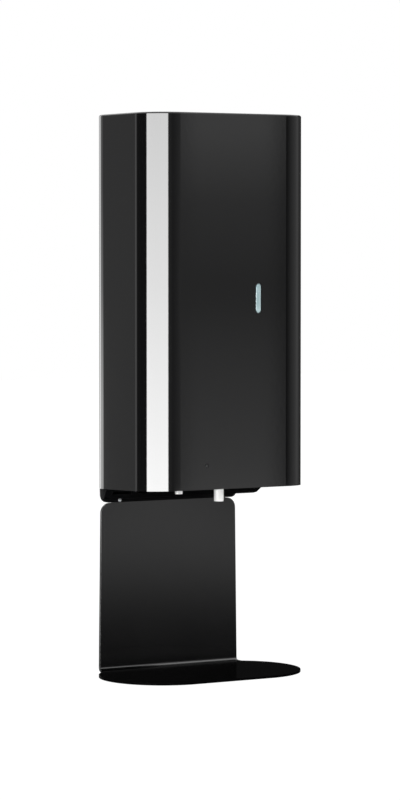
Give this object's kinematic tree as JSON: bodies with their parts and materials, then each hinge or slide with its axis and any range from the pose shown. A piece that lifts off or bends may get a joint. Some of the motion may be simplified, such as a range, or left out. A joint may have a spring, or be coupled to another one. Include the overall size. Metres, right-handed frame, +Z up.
{
  "type": "wall soap dispenser",
  "caption": "Touch-free wall soap dispenser: rounded black steel cover with a level slit, white nozzle, motor-driven pump inside, and a bent black sheet bracket with a drip tray.",
  "frame": {"origin": "middle of the base's back face, which lies on the wall, 170 mm below the cover's top", "axes": "+X to the right seen from the front, -Y to the front, +Z up; +Y points into the wall"},
  "size_m": [0.1904, 0.1135, 0.4961],
  "materials": {
    "black_paint": "high gloss powder coat",
    "black_plastic": "fine moulded texture",
    "black_sheet": "satin black coat",
    "white_plastic": "smooth moulded",
    "window_plastic": "translucent, pale grey",
    "bottle_plastic": "milky blow-moulded",
    "grey_plastic": "moulded, matt",
    "gear_plastic": "natural acetal",
    "steel": "ground",
    "zinc_plate": "zinc plated",
    "brass": "machined",
    "board_green": "circuit board lacquer",
    "cell_wrap": "printed film with no print"
  },
  "bodies": {
    "base": {"wall_base": "black_plastic", "hinge_pin_left": "steel", "hinge_pin_right": "steel", "tray_bracket": "black_sheet", "bracket_screw_left": "zinc_plate", "bracket_screw_right": "zinc_plate", "support_shelf": "grey_plastic", "refill_bottle": "bottle_plastic", "pump_collar": "white_plastic", "pump_cylinder": "white_plastic", "guide_rod_left": "steel", "guide_rod_right": "steel", "return_spring": "steel", "underside_pan": "black_plastic", "sensor_lens": "white_plastic", "sensor_board": "board_green", "drive_motor": "zinc_plate", "gear_plate_rear": "zinc_plate", "gear_plate_front": "zinc_plate", "gear_pillar_1": "zinc_plate", "gear_pillar_2": "zinc_plate", "gear_pillar_3": "zinc_plate", "gear_pillar_4": "zinc_plate", "output_axle": "steel", "idler_axle": "steel", "battery_box": "grey_plastic", "battery_1": "cell_wrap", "battery_2": "cell_wrap", "battery_3": "cell_wrap", "battery_4": "cell_wrap", "battery_contact_1": "zinc_plate", "battery_contact_2": "zinc_plate", "battery_contact_3": "zinc_plate", "battery_contact_4": "zinc_plate", "control_board": "board_green"},
    "cover": {"front_cover": "black_paint", "level_window": "window_plastic"},
    "output_wheel": {"output_gear": "gear_plastic"},
    "carriage": {"rack_carriage": "gear_plastic", "pump_piston": "white_plastic"},
    "idler_wheel": {"idler_gear": "gear_plastic"},
    "motor_shaft": {"motor_pinion": "brass"},
    "latch": {"lock_latch": "white_plastic"},
    "battery_flap": {"battery_door": "grey_plastic"},
    "switch_knob": {"mode_switch": "white_plastic"}
  },
  "joints": [
    {"name": "cover_hinge", "type": "hinge", "parent": "base", "child": "cover", "pos_m": [0, -0.0065, 0.1645], "axis": [-1, 0, 0], "range_deg": [0, 70]},
    {"name": "output_spin", "type": "hinge", "parent": "base", "child": "output_wheel", "pos_m": [0.018, -0.0645, -0.109], "axis": [0, 1, 0], "range_deg": [0, 95.5]},
    {"name": "carriage_lift", "type": "slide", "parent": "base", "child": "carriage", "axis": [0, 0, 1], "range_m": [0, 0.01], "stiffness_N_per_m": 150, "springref_m": -0.022, "deforming": ["return_spring"]},
    {"name": "idler_spin", "type": "hinge", "parent": "base", "child": "idler_wheel", "pos_m": [0.03602, -0.058, -0.09638], "axis": [0, 1, 0], "range_deg": [-254.7, 0]},
    {"name": "motor_spin", "type": "hinge", "parent": "base", "child": "motor_shaft", "pos_m": [0.04522, -0.053, -0.08045], "axis": [0, 1, 0], "range_deg": [0, 917]},
    {"name": "latch_push", "type": "slide", "parent": "base", "child": "latch", "axis": [0, 1, 0], "range_m": [0, 0.003], "stiffness_N_per_m": 300, "springref_m": -0.002},
    {"name": "battery_door_slide", "type": "slide", "parent": "base", "child": "battery_flap", "axis": [0, 0, 1], "range_m": [0, 0.008]},
    {"name": "mode_slide", "type": "slide", "parent": "base", "child": "switch_knob", "axis": [0, 0, 1], "range_m": [0, 0.003]}
  ],
  "couplings": [
    {"joint": "output_spin", "follows": "carriage_lift", "rad_per_m": 166.67},
    {"joint": "idler_spin", "follows": "carriage_lift", "rad_per_m": -444.44},
    {"joint": "motor_spin", "follows": "carriage_lift", "rad_per_m": 1600}
  ]
}
